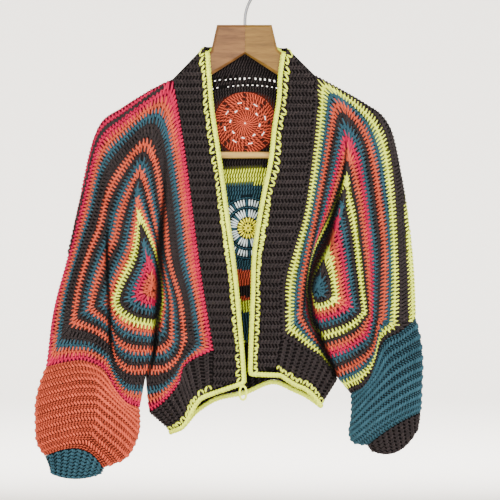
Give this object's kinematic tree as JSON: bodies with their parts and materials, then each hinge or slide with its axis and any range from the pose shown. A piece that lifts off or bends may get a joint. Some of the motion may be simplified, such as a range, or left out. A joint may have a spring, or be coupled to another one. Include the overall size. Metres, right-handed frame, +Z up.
{
  "type": "granny square cardigan on a hanger",
  "caption": "Open crochet cardigan of two folded hexagon granny motifs, with ribbed bands, puffed sleeves and corded edging, on a wooden hanger.",
  "frame": {"origin": "inside top of the hanger's hook, where a rail carries it", "axes": "+Z up, -Y towards the viewer who faces the front, +X to that viewer's right"},
  "size_m": [0.5935, 0.0834, 0.7769],
  "materials": {
    "granny_crochet": "matt wool yarn in rounds of coral, pink, teal, charcoal and lemon",
    "charcoal_crochet": "matt charcoal wool yarn in ridged crochet",
    "coral_crochet": "matt coral wool yarn",
    "teal_crochet": "matt teal wool yarn",
    "lemon_crochet": "matt pale lemon yarn worked as a cord",
    "hanger_wood": "clear lacquered flat wood",
    "bar_wood": "pale turned wood",
    "hook_metal": "polished wire"
  },
  "bodies": {
    "root": {"granny_front_left": "granny_crochet", "granny_back_left": "granny_crochet", "granny_front_right": "granny_crochet", "granny_back_right": "granny_crochet", "front_band_left": "charcoal_crochet", "front_band_right": "charcoal_crochet", "hem_band_left": "charcoal_crochet", "hem_band_right": "charcoal_crochet", "hem_band_back": "charcoal_crochet", "neck_piece": "charcoal_crochet", "back_round_panel": "coral_crochet", "back_flower_panel": "teal_crochet", "back_lower_panel": "teal_crochet", "lower_sleeve_left": "coral_crochet", "lower_sleeve_right": "teal_crochet", "cuff_left": "teal_crochet", "cuff_right": "charcoal_crochet", "edging": "lemon_crochet", "hanger_arm_left": "hanger_wood", "hanger_arm_right": "hanger_wood", "hanger_bar": "bar_wood", "hanger_hook": "hook_metal"}
  },
  "joints": []
}
